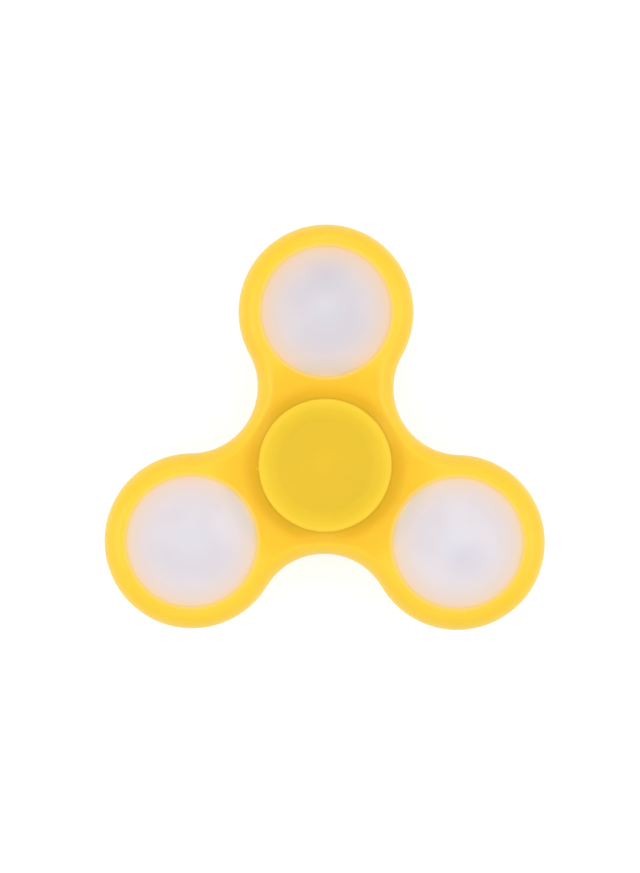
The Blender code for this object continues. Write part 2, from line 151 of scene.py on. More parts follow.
# Works of a light pod
BOARD_LOW, BOARD_HIGH = box_mm("pod_1_board")
CELL_LOW, CELL_HIGH = box_mm("pod_1_coin_cell")
CLIP_LOW, CLIP_HIGH = box_mm("pod_1_cell_clip")
SWITCH_LOW, SWITCH_HIGH = box_mm("pod_1_switch_base")
PLATE_LOW, PLATE_HIGH = box_mm("pod_1_switch_cover")
DOME_LOW, DOME_HIGH = box_mm("pod_1_switch_dome")
PLUNGER_LOW, PLUNGER_HIGH = box_mm("pod_1_switch_plunger")
BLOB_LOW, BLOB_HIGH = box_mm("pod_1_controller")
LED_LOW, LED_HIGH = box_mm("pod_1_led_a")
LED_DISTANCE = 7.7  # from the pod's own axis
CLIP_THICK = 0.2
TRACK_WIDTH = 0.3
TRACK_PROUD = 0.03

ROUND = 96  # segments round a circle, for large and for small pieces
MEDIUM = 48
SMALL = 24
PAST = 1.0  # how far a cutter reaches past the face that it cuts
ORIGIN = Vector((0, 0))


def lobe_angle(index):
    """Direction of a lobe, or of a waist at a half index, from the spin axis."""
    return tau * (0.25 + index / LOBES)


def along(angle, distance):
    return Vector((cos(angle), sin(angle))) * distance


def lobe_centre(index):
    return along(lobe_angle(index), LOBE_DISTANCE)


# Mesh making


def arc(centre, radius, start, end, steps):
    """Points of an arc between two angles in degrees."""
    angles = [radians(start + (end - start) * i / steps) for i in range(steps + 1)]
    return [(centre[0] + radius * cos(a), centre[1] + radius * sin(a)) for a in angles]


def flipped(profile):
    """The same profile on the other side of the mid-plane."""
    return [(r, -z) for r, z in reversed(profile)]


def smoothed(mesh):
    mesh.shade_smooth()
    mesh.set_sharp_from_angle(angle=radians(35))
    return mesh


def mesh_from(shape):
    """The finished shape as a smooth-shaded mesh in metres."""
    bmesh.ops.recalc_face_normals(shape, faces=shape.faces)
    shape.transform(Matrix.Scale(MM, 4))
    mesh = bpy.data.meshes.new("part")
    shape.to_mesh(mesh)
    shape.free()
    return smoothed(mesh)


def turned(profile, segments=ROUND):
    """A closed profile of (radius, z) points, spun round the Z axis."""
    shape = bmesh.new()
    points = [shape.verts.new((r, 0, z)) for r, z in profile]
    sides = zip(points, points[1:] + points[:1])
    edges = [shape.edges.new(side) for side in sides if side[0].co.x > 0 or side[1].co.x > 0]
    full = {"cent": (0, 0, 0), "axis": (0, 0, 1), "angle": tau, "steps": segments}
    bmesh.ops.spin(shape, geom=points + edges, use_merge=True, **full)
    bmesh.ops.remove_doubles(shape, verts=shape.verts, dist=0.0001)
    return mesh_from(shape)


def eased(corners, radius, steps=3):
    """A profile with its sharp corners rounded. Corners on the axis stay as they are."""
    nearly_straight, shortest = radians(25), 2.2  # a side's least length, in roundings
    points = []
    for before, corner, after in zip(corners[-1:] + corners[:-1], corners, corners[1:] + corners[:1]):
        corner = Vector(corner)
        back, ahead = Vector(before) - corner, Vector(after) - corner
        if corner.x == 0 or back.angle(-ahead) < nearly_straight:
            points.append(tuple(corner))
            continue
        reach = min(radius, back.length / shortest, ahead.length / shortest)
        start, end = corner + back.normalized() * reach, corner + ahead.normalized() * reach
        for i in range(steps + 1):
            share = i / steps
            points.append(tuple(start.lerp(corner, share).lerp(corner.lerp(end, share), share)))
    return points


def block(low, high, bevel):
    """A box between two corners, with rounded edges."""
    low, high = Vector(low), Vector(high)
    shape = bmesh.new()
    bmesh.ops.create_cube(shape, size=1, matrix=Matrix.LocRotScale((low + high) / 2, None, high - low))
    bmesh.ops.bevel(shape, geom=shape.edges, offset=bevel, segments=3, profile=0.5, affect="EDGES")
    return mesh_from(shape)


def add_strip(shape, rings, closed=False):
    """Quads from ring to ring of equal length, and from the last one to the first if closed."""
    rows = [[shape.verts.new(point) for point in ring] for ring in rings]
    after = rows[1:] + rows[:1] if closed else rows[1:]
    for row, following in zip(rows, after):
        for i, corner in enumerate(row):
            j = (i + 1) % len(row)
            shape.faces.new((corner, row[j], following[j], following[i]))
    return rows


def bar(section, low, high, bevel):
    """A section of (x, z) points made into a bar from low to high along Y, with rounded ends."""
    shape = bmesh.new()
    rows = add_strip(shape, [[(x, y, z) for x, z in section] for y in (low, high)])
    ends = [shape.faces.new(row) for row in rows]
    rims = {edge for face in ends for edge in face.edges}
    bmesh.ops.bevel(shape, geom=list(rims), offset=bevel, segments=2, profile=0.5, affect="EDGES")
    return mesh_from(shape)


def post(radius, low, high, ease, segments=MEDIUM):
    """A round post or disc about the Z axis, with eased edges."""
    return turned(eased([(0, low), (radius, low), (radius, high), (0, high)], ease), segments)


def moved(mesh, x, y, turn=0.0):
    """A copy of the mesh, turned about the Z axis and moved across."""
    copy = mesh.copy()
    copy.transform(Matrix.Translation((x * MM, y * MM, 0)) @ Matrix.Rotation(turn, 4, "Z"))
    return copy


def carved(solid, *cutters):
    """The solid with every cutter taken out of it."""
    stock = bpy.data.objects.new("stock", solid)
    tools = [bpy.data.objects.new("cutter", mesh) for mesh in cutters]
    for obj in [stock, *tools]:
        bpy.context.scene.collection.objects.link(obj)
    for tool in tools:
        cut = stock.modifiers.new("cut", "BOOLEAN")
        cut.operation = "DIFFERENCE"
        cut.solver = "EXACT"
        cut.object = tool
    graph = bpy.context.evaluated_depsgraph_get()
    mesh = bpy.data.meshes.new_from_object(stock.evaluated_get(graph))
    for obj in [stock, *tools]:
        bpy.data.objects.remove(obj)
    return smoothed(mesh)


def joined(*parts):
    """One mesh made of pairs of (mesh, finish), where each part keeps its finish."""
    shape = bmesh.new()
    joint = bpy.data.meshes.new("joined")
    for index, (mesh, finish) in enumerate(parts):
        before = len(shape.faces)
        shape.from_mesh(mesh)
        shape.faces.ensure_lookup_table()
        for face in shape.faces[before:]:
            face.material_index = index
        joint.materials.append(finish)
    shape.to_mesh(joint)
    shape.free()
    return joint


def show(name, mesh, finish, node, place=(0, 0), turn=0.0):
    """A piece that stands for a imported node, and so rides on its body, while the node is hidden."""
    piece = bpy.data.objects.new(name, mesh)
    bpy.context.scene.collection.objects.link(piece)
    if not mesh.materials:
        mesh.materials.append(finish)
    piece.location = (place[0] * MM, place[1] * MM, 0)
    piece.rotation_euler = (0, 0, turn)
    bpy.context.view_layer.update()
    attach(piece, BODIES[node])
    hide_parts(node)
    return piece


# Material making


class Finish:
    """A Principled material and short ways to add nodes to it. A value is a socket or a constant."""

    def __init__(self, name, **constants):
        self.material = bpy.data.materials.new(name)
        self.material.use_nodes = True
        self.tree = self.material.node_tree
        self.shader = self.tree.nodes["Principled BSDF"]
        for socket, value in constants.items():
            self.shader.inputs[socket.replace("_", " ")].default_value = value

    def node(self, kind, **settings):
        made = self.tree.nodes.new(f"ShaderNode{kind}")
        for key, value in settings.items():
            setattr(made, key, value)
        return made

    def put(self, value, socket):
        if isinstance(value, bpy.types.NodeSocket):
            self.tree.links.new(value, socket)
        else:
            socket.default_value = value

    def maths(self, operation, *values, kind="Math"):
        made = self.node(kind, operation=operation)
        for value, socket in zip(values, made.inputs):
            self.put(value, socket)
        return next(o for o in made.outputs if o.enabled)

    def scaled(self, value, factor, offset=0.0):
        return self.maths("MULTIPLY_ADD", value, factor, offset)

    def place(self):
        """The point on the piece, from the piece's own origin, in metres."""
        return self.node("TexCoord").outputs["Object"]

    def noise(self, size, detail=2.0, stretch=(1, 1, 1), shift=0.0):
        """Noise from 0 to 1 whose blobs are about size metres across. Another shift gives other blobs."""
        made = self.node("TexNoise", noise_dimensions="4D")
        place = self.maths("MULTIPLY", self.place(), stretch, kind="VectorMath")
        for name, value in (("Vector", place), ("W", shift), ("Scale", 1 / size), ("Detail", detail)):
            self.put(value, made.inputs[name])
        return made.outputs["Fac"]

    def radius(self, largest, centre=(0, 0)):
        """Distance from a line along Z, by default the piece's own axis, as a share of the largest."""
        flat = self.maths("MULTIPLY", self.place(), (1, 1, 0), kind="VectorMath")
        return self.scaled(self.maths("DISTANCE", flat, (*centre, 0), kind="VectorMath"), 1 / largest)

    def nearest(self, centres, largest):
        """Distance from the nearest of several lines along Z, in millimetres, as a share of the largest."""
        least, *others = [self.radius(largest * MM, centre * MM) for centre in centres]
        for share in others:
            least = self.maths("MINIMUM", least, share)
        return least

    def level_share(self):
        """1 on a level face, up or down, and 0 on an upright wall."""
        split = self.node("SeparateXYZ")
        self.put(self.node("TexCoord").outputs["Normal"], split.inputs[0])
        return self.maths("ABSOLUTE", split.outputs["Z"])

    def ramp(self, value, stops, smooth=True):
        """Colours read from stops of (share, colour)."""
        made = self.node("ValToRGB")
        made.color_ramp.interpolation = "EASE" if smooth else "LINEAR"
        elements = made.color_ramp.elements
        while len(elements) < len(stops):
            elements.new(1.0)
        for element, (share, colour) in zip(elements, stops):
            element.position = share
            element.color = (*colour, 1.0)
        self.put(value, made.inputs["Fac"])
        return made.outputs["Color"]

    def mix(self, share, first, second, blend="MIX"):
        made = self.node("Mix", data_type="RGBA", blend_type=blend)
        for name, value in (("Factor", share), ("A", first), ("B", second)):
            target = next(i for i in made.inputs if i.name == name and i.enabled)
            self.put((*value, 1.0) if isinstance(value, tuple) else value, target)
        return next(o for o in made.outputs if o.enabled)

    def times(self, first, second):
        return self.mix(1.0, first, second, blend="MULTIPLY")

    def colour(self, value):
        self.put(value, self.shader.inputs["Base Color"])

    def roughness(self, least, spread, pattern):
        """Roughness that goes up from the least where the pattern does."""
        self.put(self.scaled(pattern, spread, least), self.shader.inputs["Roughness"])

    def bump(self, *layers):
        """Bumps from pairs of (height in metres, pattern)."""
        normal = None
        for height, pattern in layers:
            made = self.node("Bump")
            made.inputs["Distance"].default_value = height
            self.put(pattern, made.inputs["Height"])
            if normal:
                self.put(normal, made.inputs["Normal"])
            normal = made.outputs["Normal"]
        self.put(normal, self.shader.inputs["Normal"])

    def mottled(self, tints, rough, height, blots, patches, grain):
        """Two tints in blots, roughness in patches, and grain: three noises given by size and detail."""
        self.colour(self.mix(self.noise(*blots), *tints))
        self.roughness(*rough, self.noise(*patches))
        self.bump((height, self.noise(*grain)))
        return self.material


WHITE, BLACK = (1, 1, 1), (0, 0, 0)
STUDIO_LIGHT = 1.205  # how bright a white level face looks
STUDIO_GLOSS = 0.036  # what gloss adds to any colour
DARKEST = 0.004


def linear(*srgb):
    """A colour given in 0 to 255 as light."""
    shares = [c / 255 for c in srgb]
    return tuple(c / 12.92 if c <= 0.04045 else ((c + 0.055) / 1.055) ** 2.4 for c in shares)


def lit(*srgb):
    """The surface colour that looks like this one, given in 0 to 255, in the studio's light."""
    return tuple(max(share - STUDIO_GLOSS, DARKEST) / STUDIO_LIGHT for share in linear(*srgb))


def yellow_plastic(name):
    """Glossy moulded plastic that light enters, so that shadows on it turn orange."""
    glow = {"Subsurface_Weight": 0.35, "Subsurface_Scale": 0.0008, "Subsurface_Radius": (1.0, 0.6, 0.15)}
    made = Finish(name, Specular_IOR_Level=0.4, **glow)
    made.roughness(0.34, 0.08, made.noise(0.004, 4))
    made.bump((0.000005, made.noise(0.0025)), (0.000001, made.noise(0.00012, 1)))
    return made


def clouded(made, colour, size):
    """A colour with faint clouds about size metres across."""
    return made.times(colour, made.ramp(made.noise(size, 3.0), [(0.3, WHITE), (0.8, (0.97, 0.97, 0.95))]))


def body_yellow():
    """Deep yellow on the flats round the hub, partly thick plastic and partly painted shade from the pad, and
    lighter in the lobes and on the rounded edges, partly thin plastic and partly painted light from the side
    lamps. Painted light lifts the shadow right beside the pad, and a painted pale glow rings each lens.
    """
    made = yellow_plastic("body_yellow")
    # Lighter in the lobes and on the rounded edges, partly thin plastic and partly painted light from the
    # side lamps; deeper round the hub, partly thick plastic and partly painted shade from the pad; and
    # painted light right beside the pad, lifting its shadow.
    thin, thick, painted_lift_beside_pad = lit(262, 219, 70), lit(257, 207, 42), lit(262, 220, 68)
    # A painted pale glow on the body, in a ring round each lens.
    painted_glow_beside_lens, lens_glow = lit(261, 219, 130), 0.7
    flat = made.ramp(made.level_share(), [(0.85, BLACK), (0.99, WHITE)])
    out = made.radius(LOBE_DISTANCE * MM)
    core = made.ramp(out, [(0.6, WHITE), (0.8, BLACK)])
    deep = made.ramp(out, [(0.44, painted_lift_beside_pad), (0.49, thick)])
    plain = clouded(made, made.mix(made.times(flat, core), thin, deep), 0.012)
    reach = POD_BORE + lens_glow
    from_pod = made.nearest([lobe_centre(k) for k in range(LOBES)], reach)
    near = made.ramp(from_pod, [(POD_BORE / reach, WHITE), (1.0, BLACK)], smooth=False)
    made.colour(made.mix(near, plain, painted_glow_beside_lens))
    return made.material


def ringed(made, radius, rings):
    """Colours round the piece's own axis, from pairs of (share of the radius, colour in 0 to 255)."""
    return made.ramp(made.radius(radius * MM), [(share, lit(*colour)) for share, colour in rings])


def pad_yellow():
    """The same plastic, with painted shade in the thumb dish and painted light round the crest."""
    made = yellow_plastic("pad_yellow")
    # Painted shade, deeper in the dish, and painted light, lighter towards the crest.
    rings = [(0.0, (244, 202, 40)), (0.2, (242, 201, 40)), (0.4, (240, 201, 38)), (0.65, (239, 201, 40))]
    rings += [(0.8, (246, 208, 51)), (0.9, (249, 213, 60)), (0.96, (256, 216, 68)), (1.0, (256, 213, 62))]
    made.colour(clouded(made, ringed(made, PAD_RADIUS, rings), 0.008))
    return made.material


LENS_LOOKS = [  # each lens's painted shade in the middle, painted reflection tint near the edge, and the place and tint of its darkest painted shadow spot
    ((0.95, 0.95, 0.95), (1.0, 0.96, 0.89), (0.5, 6.0), (0.93, 0.93, 0.96)),
    (WHITE, WHITE, (-2.0, 4.0), (0.985, 0.985, 0.99)),
    (WHITE, (1.0, 1.0, 0.98), (1.4, 3.4), (0.93, 0.93, 0.96)),
]


def frosted_lens(index):
    """Frosted white over the works, which show through as painted shade: faint clouds, a darker spot and a
    greyer middle. A painted reflection of the yellow body beside it makes its edge warm, and painted shade
    darkens and cools that edge towards the hub.
    """
    glow = {"Subsurface_Weight": 0.4, "Subsurface_Scale": 0.0004, "Subsurface_Radius": WHITE}
    made = Finish(f"frosted_lens_{index + 1}", Specular_IOR_Level=0.3, **glow)
    middle_shade_tint, edge_reflection_tint, spot, spot_shade_tint = LENS_LOOKS[index]
    spot_size, blot_depth, blot_blue = 5.0, 0.07, 0.8
    # Painted reflection of the yellow body, warm towards the edge, and painted shade of the cell behind,
    # greyer in the middle.
    rings = [(0, (234, 231, 238)), (0.56, (235, 228, 232)), (0.68, (237, 226, 227)), (0.82, (239, 223, 216))]
    rings += [(0.91, (243, 221, 205)), (0.97, (248, 219, 184)), (1, (256, 217, 148))]
    across = ringed(made, POD_RADIUS, rings)
    middle = made.ramp(made.radius(POD_RADIUS * MM), [(0.45, WHITE), (0.95, BLACK)])
    # Painted shade of the works behind the lens: faint clouds in the middle, and one darker spot.
    blots = made.ramp(made.noise(0.009, 1.5, shift=index), [(0.3, BLACK), (0.7, WHITE)])
    spot_share = made.radius(spot_size * MM, (spot[0] * MM, spot[1] * MM))
    shade = made.ramp(spot_share, [(0.0, spot_shade_tint), (1.0, WHITE)])
    tinted = made.mix(middle, edge_reflection_tint, middle_shade_tint)
    # Painted shade, darker and cooler, on the lens's edge towards the hub.
    from_hub = made.radius(LOBE_DISTANCE * MM, (0, -LOBE_DISTANCE * MM))
    painted_hub_side_shade = made.ramp(from_hub, [(0.575, WHITE), (0.61, (0.89, 0.965, 1.0)), (0.73, WHITE)])
    plain = made.times(made.times(across, tinted), painted_hub_side_shade)
    dark = made.times(plain, (1 - blot_depth, 1 - blot_depth, 1 - blot_depth * blot_blue))
    made.colour(made.times(made.mix(made.times(blots, middle), plain, dark), shade))
    made.roughness(0.5, 0.1, made.noise(0.002, 3))
    made.bump((0.000003, made.noise(0.0001, 1)))
    return made.material


def white_plastic(name, colour, rough):
    made = Finish(name, Subsurface_Weight=0.2, Subsurface_Scale=0.0008, Specular_IOR_Level=0.4)
    tints = colour, tuple(c * f for c, f in zip(colour, (0.96, 0.96, 0.94)))
    return made.mottled(tints, (rough, 0.1), 0.000003, (0.006, 3), (0.002, 3), (0.00012, 1))


def turned_steel(name, colour, rough):
    """Steel with the fine rings that turning or grinding leaves."""
    made = Finish(name, Metallic=1.0)
    spacing = 0.00006
    wave = made.node("TexWave", wave_type="RINGS", rings_direction="Z")
    settings = {"Vector": made.place(), "Scale": 0.05 / spacing, "Distortion": 0.4, "Detail": 2.0}
    for socket, value in settings.items():
        made.put(value, wave.inputs[socket])
    rings = wave.outputs["Fac"]
    made.colour(made.mix(made.noise(0.003, 4), colour, tuple(c * 0.8 for c in colour)))
    made.roughness(rough, 0.12, rings)
    made.bump((0.0000015, rings))
    return made.material


def ball_steel():
    """Mirror-bright steel with faint marks."""
    made = Finish("ball_steel", Metallic=1.0)
    tints = (0.76, 0.76, 0.77), (0.66, 0.66, 0.67)
    return made.mottled(tints, (0.04, 0.08), 0.0000006, (0.002, 5), (0.0015, 5), (0.0004, 3))


def pressed_steel(name, colour, rough):
    """Sheet steel, with fine marks along its rolling direction."""
    made = Finish(name, Metallic=1.0)
    streaks = made.noise(0.0006, 3.0, stretch=(0.12, 1.0, 1.0))
    made.colour(made.mix(streaks, colour, tuple(c * 0.82 for c in colour)))
    made.roughness(rough, 0.2, streaks)
    made.bump((0.000003, streaks))
    return made.material


def black_plastic(name, rough):
    made = Finish(name, Specular_IOR_Level=0.4)
    tints = (0.018, 0.018, 0.02), (0.035, 0.034, 0.034)
    return made.mottled(tints, (rough, 0.15), 0.000006, (0.001, 3), (0.0005, 2), (0.0002, 2))


def board_laminate():
    """Dark green solder mask over woven glass, whose threads show faintly."""
    made = Finish("board_laminate", Specular_IOR_Level=0.5)
    weft = made.noise(0.0003, 1.0, stretch=(0.1, 1.0, 1.0))
    warp = made.noise(0.0003, 1.0, stretch=(1.0, 0.1, 1.0))
    threads = made.mix(0.5, weft, warp)
    made.colour(made.mix(threads, (0.01, 0.1, 0.036), (0.02, 0.16, 0.06)))
    made.roughness(0.25, 0.15, made.noise(0.0008, 3))
    made.bump((0.000008, threads))
    return made.material


def masked_copper():
    """A track under the solder mask, a lighter green than the bare board."""
    made = Finish("masked_copper", Specular_IOR_Level=0.5)
    tints = (0.05, 0.27, 0.09), (0.03, 0.2, 0.07)
    return made.mottled(tints, (0.25, 0.15), 0.000008, (0.0006, 3), (0.0008, 3), (0.0003, 2))


def phosphor():
    """Silicone with yellow phosphor in it, over the LED's chip."""
    made = Finish("led_phosphor", Subsurface_Weight=0.3, Subsurface_Scale=0.0004, Specular_IOR_Level=0.5)
    tints = (0.86, 0.72, 0.16), (0.74, 0.56, 0.08)
    return made.mottled(tints, (0.25, 0.1), 0.000006, (0.0003, 4), (0.0004, 2), (0.0003, 2))


def tin():
    """Tinned copper, a little lumpy where the solder has run."""
    made = Finish("tinned_copper", Metallic=1.0)
    tints = (0.72, 0.72, 0.7), (0.5, 0.5, 0.49)
    return made.mottled(tints, (0.25, 0.2), 0.00002, (0.0005, 3), (0.0003, 3), (0.0006, 2))


# Rotor body

# A lobe's arc and a waist's hollow arc, whose centre lies beyond the waist, meet in one tangent.
STEP = pi / LOBES
SPARE = LOBE_RADIUS - WAIST_DISTANCE
WAIST_CENTRE = (LOBE_DISTANCE**2 - SPARE**2) / (LOBE_DISTANCE + 2 * SPARE)
WAIST_RADIUS = WAIST_CENTRE - WAIST_DISTANCE
LOBE_HALF = atan2(WAIST_CENTRE * sin(STEP), WAIST_CENTRE * cos(STEP) - LOBE_DISTANCE)
WAIST_HALF = LOBE_HALF - STEP
SLACK = 0.001  # radians by which a lobe's and a waist's sectors overlap where they meet


def outline(inset):
    """Points of the body's outline moved inwards: an arc round each lobe, and a hollow arc at each waist."""
    lobe_steps, waist_steps = 64, 24
    points = []
    for k in range(LOBES):
        lobe, waist = lobe_angle(k), lobe_angle(k + 0.5)
        sweep = [degrees(lobe - LOBE_HALF), degrees(lobe + LOBE_HALF)]
        points += arc(lobe_centre(k), LOBE_RADIUS - inset, *sweep, lobe_steps)
        sweep = [degrees(waist + pi + WAIST_HALF), degrees(waist + pi - WAIST_HALF)]
        points += arc(along(waist, WAIST_CENTRE), WAIST_RADIUS + inset, *sweep, waist_steps)[1:-1]
    return points


def turn_between(direction, angle):
    """The angle between a direction and an angle, without its sign."""
    ahead = atan2(direction.y, direction.x) - angle
    return abs((ahead + pi) % tau - pi)


def inset_at(point):
    """How far a point lies inside the outline. Deep inside, where nothing depends on it, it is only large."""
    nearest = LOBE_RADIUS
    for k in range(LOBES):
        lobe, waist = lobe_angle(k), lobe_angle(k + 0.5)
        from_lobe = point - lobe_centre(k)
        if turn_between(from_lobe, lobe) <= LOBE_HALF + SLACK:
            nearest = min(nearest, LOBE_RADIUS - from_lobe.length)
        from_waist = point - along(waist, WAIST_CENTRE)
        if turn_between(from_waist, waist + pi) <= WAIST_HALF + SLACK:
            nearest = min(nearest, from_waist.length - WAIST_RADIUS)
    return nearest


def dish(radius):
    """Depth of the shallow dish round the hub."""
    share = (DISH_RADIUS - radius) / (DISH_RADIUS - HUB_BORE)
    return DISH_DEPTH * (1 - cos(pi * min(max(share, 0), 1))) / 2


def face_height(point):
    """Height of the front face over a point, with its rounded edge and its dish."""
    share = min(max(inset_at(point) / EDGE_INSET, 0), 1)
    rounded = BODY_HALF - EDGE_HEIGHT * (1 - sqrt(1 - (1 - share) ** 2))
    return rounded - dish(point.length)


def circle(centre, radius):
    return [centre + along(tau * i / ROUND, radius) for i in range(ROUND)]


def add_face(shape, side, rim, rim_inset, hub_radius):
    """The flat front or rear of the body, between the rim ring, the pods' bores and the hub's bore."""
    spacing, clearance = 0.62, 0.6  # between the points inside, and from them to an edge as a share of it
    holes = [(lobe_centre(k), POD_BORE + MOUTH_FILLET) for k in range(LOBES)]
    holes.append((ORIGIN, hub_radius))

    def inside(point, margin):
        clear = all((point - centre).length > radius + margin for centre, radius in holes)
        return clear and inset_at(point) > rim_inset + margin

    points, edges = [], []
    for loop in [[Vector(p) for p in rim], *(circle(*hole) for hole in holes)]:
        first = len(points)
        points += loop
        edges += [(first + i, first + (i + 1) % len(loop)) for i in range(len(loop))]
    rows = int(2 * LOBE_DISTANCE / spacing)
    for row in range(-rows, rows):
        for column in range(-rows, rows):
            point = Vector((column + 0.5 * (row % 2), row * sqrt(3) / 2)) * spacing
            if point.length < LOBE_DISTANCE + LOBE_RADIUS and inside(point, spacing * clearance):
                points.append(point)
    made, _, triangles, *_ = delaunay_2d_cdt(points, edges, [], 0, 0.00001)
    corners = [None] * len(made)
    for triangle in triangles:
        middle = sum((made[i] for i in triangle), ORIGIN) / 3
        if not inside(middle, 0):
            continue
        for i in triangle:
            if corners[i] is None:
                corners[i] = shape.verts.new((*made[i], side * face_height(made[i])))
        shape.faces.new([corners[i] for i in triangle])


def bore_walls(shape, centre, profile):
    """A turned wall whose first and last rings lie on the body's faces."""
    rings = [[(*point, z) for point in circle(centre, radius)] for radius, z in profile]
    for end, side in ((0, 1), (-1, -1)):
        loop = circle(centre, profile[end][0])
        rings[end] = [(*point, side * face_height(point)) for point in loop]
    add_strip(shape, rings)


def body_mesh():
    """One moulding. Each pod's bore has a rib half way, and the hub's bore has a lip behind."""
    steps, last_turn = 14, radians(83)
    insets = [EDGE_INSET * (1 - cos(last_turn * i / steps)) for i in range(steps + 1)]
    rim_inset = insets[-1]
    front = [[(*p, face_height(Vector(p))) for p in outline(inset)] for inset in reversed(insets)]
    rear = [[(x, y, -z) for x, y, z in ring] for ring in reversed(front)]
    seam = [(0, SEAM_HALF), (-SEAM_PROUD, 0), (0, -SEAM_HALF)]
    shape = bmesh.new()
    add_strip(shape, front + [[(*p, z) for p in outline(inset)] for inset, z in seam] + rear)
    add_face(shape, 1, outline(rim_inset), rim_inset, HUB_BORE)
    add_face(shape, -1, outline(rim_inset), rim_inset, HUB_LIP)
    fillet = arc((POD_BORE + MOUTH_FILLET, BODY_HALF - MOUTH_FILLET), MOUTH_FILLET, 90, 180, 3)
    half = fillet + [(POD_BORE, RIB_HALF), (RIB_RADIUS, RIB_HALF)]
    for k in range(LOBES):
        bore_walls(shape, lobe_centre(k), half + flipped(half))
    hub = [(HUB_BORE, 0), (HUB_BORE, HUB_LIP_Z), (HUB_LIP, HUB_LIP_Z), (HUB_LIP, 0)]
    bore_walls(shape, ORIGIN, hub)
    bmesh.ops.remove_doubles(shape, verts=shape.verts, dist=0.0005)  # the rings that two surfaces share
    return mesh_from(shape)


# Light pods


def crown(steps=20):
    """The domed face of a pod shell, from its wall to its middle."""
    start = POD_RADIUS - SHELL_FILLET
    points = arc((start, CROWN_EDGE - SHELL_FILLET), SHELL_FILLET, 0, 85, 6)
    for i in range(1, steps + 1):
        radius = start * (1 - i / steps)
        points.append((radius, CROWN - (CROWN - CROWN_EDGE) * (radius / start) ** 2))
    return points


def lens_mesh():
    """A domed window, a little thicker towards its skirt."""
    skirt, rounding = 10.2, 0.7
    hollow = [(0, SHELL_INSIDE), (4.0, SHELL_INSIDE - 0.06), (7.5, SHELL_INSIDE - 0.22), (9.3, 4.5)]
    hollow += arc((skirt - rounding, 3.7), rounding, 80, 0, 4)
    return turned(crown() + hollow + [(skirt, SHELL_END), (POD_RADIUS, SHELL_END)])


def cover_mesh():
    """The rear cover: a shallow ring is pressed round its button's hole, and its collar holds the board."""
    hole, hole_ease, hole_drop = 2.55, 0.15, 0.03
    ring, ring_half, ring_depth = 4.4, 0.45, 0.16
    wall, ledge, ledge_high, ledge_low = 9.8, 8.6, 2.2, 1.65
    bore, collar, bevel = 9.35, 10.15, 0.15
    face = []
    for r, z in crown(60):
        if r > hole + hole_ease:
            share = min(abs(r - ring) / ring_half, 1)
            face.append((r, z - ring_depth * (1 + cos(pi * share)) / 2))
    face += arc((hole + hole_ease, CROWN - hole_ease - hole_drop), hole_ease, 90, 180, 3)
    inside = [(hole, SHELL_INSIDE), (wall, SHELL_INSIDE), (wall, 3.1), (ledge, ledge_high)]
    inside += [(ledge, ledge_low), (bore, ledge_low), (bore, COLLAR_END + bevel), (bore + bevel, COLLAR_END)]
    outside = [(collar - bevel, COLLAR_END), (collar, COLLAR_END + bevel), (collar, SHELL_END)]
    return turned(flipped(face + inside + outside + [(POD_RADIUS, SHELL_END)]))


def button_mesh():
    """The cap in the cover's hole, the flange that keeps it there, and the stub that meets the plunger."""
    radius, outer, crowning, rounding = 2.4, -BUTTON_LOW.z, 0.1, 0.35
    flange, flange_high, flange_low, ease = 3.3, 4.85, 4.45, 0.05
    stub, stub_end = 1.3, 4.05
    cap = [(0, outer)] + [(radius * i / 8, outer - crowning * (i / 8) ** 2) for i in range(1, 7)]
    cap += arc((radius - rounding, outer - crowning - rounding), rounding, 70, 0, 5)
    rim = [(radius, flange_high), (flange - ease, flange_high), (flange, flange_high - ease)]
    rim += [(flange, flange_low + ease), (flange - ease, flange_low)]
    foot = [(stub, flange_low), (stub, stub_end), (0, stub_end)]
    return turned(flipped(cap + rim + foot), 64)


# Finger pads


def pad_profile():
    """From the middle of the thumb dish, over the crest and down to the tip of the stem."""
    floor_steps, rise_steps, tip_height = 6, 22, 0.2
    face = [(PAD_FLOOR_RADIUS * i / floor_steps, PAD_FLOOR) for i in range(floor_steps + 1)]
    for i in range(1, rise_steps + 1):
        share = i / rise_steps
        rise = (1 - cos(pi * share)) / 2
        radius = PAD_FLOOR_RADIUS + (PAD_CREST_RADIUS - PAD_FLOOR_RADIUS) * share
        face.append((radius, PAD_FLOOR + (PAD_CREST - PAD_FLOOR) * rise))
    edge = arc((PAD_RADIUS - PAD_ROUNDING, PAD_CREST - PAD_ROUNDING), PAD_ROUNDING, 90, 0, 7)
    under = arc((PAD_RADIUS - PAD_ROUNDING, PAD_UNDER + PAD_ROUNDING), PAD_ROUNDING, 0, -90, 5)
    boss = [(PAD_BOSS, PAD_UNDER), (PAD_BOSS, BOSS_END), (STEM_RADIUS, BOSS_END)]
    return face + edge + under + boss + [(STEM_RADIUS, STEM_END + tip_height), (STEM_TIP, STEM_END)]


def gate_nib():
    """The small torn nib that the mould's gate left on the pad's edge."""
    radius, torn, place = 0.3, 0.25, (-PAD_RADIUS, -0.72, 6.5)
    shape = bmesh.new()
    bmesh.ops.create_icosphere(shape, subdivisions=3, radius=radius)
    for vert in shape.verts:
        wobble = 1 + torn * sin(9 * vert.co.y + 4 * vert.co.z)
        vert.co = Vector((vert.co.x * 1.1, vert.co.y * 0.9, vert.co.z * 0.7)) * wobble
    bmesh.ops.translate(shape, verts=shape.verts, vec=place)
    return mesh_from(shape)


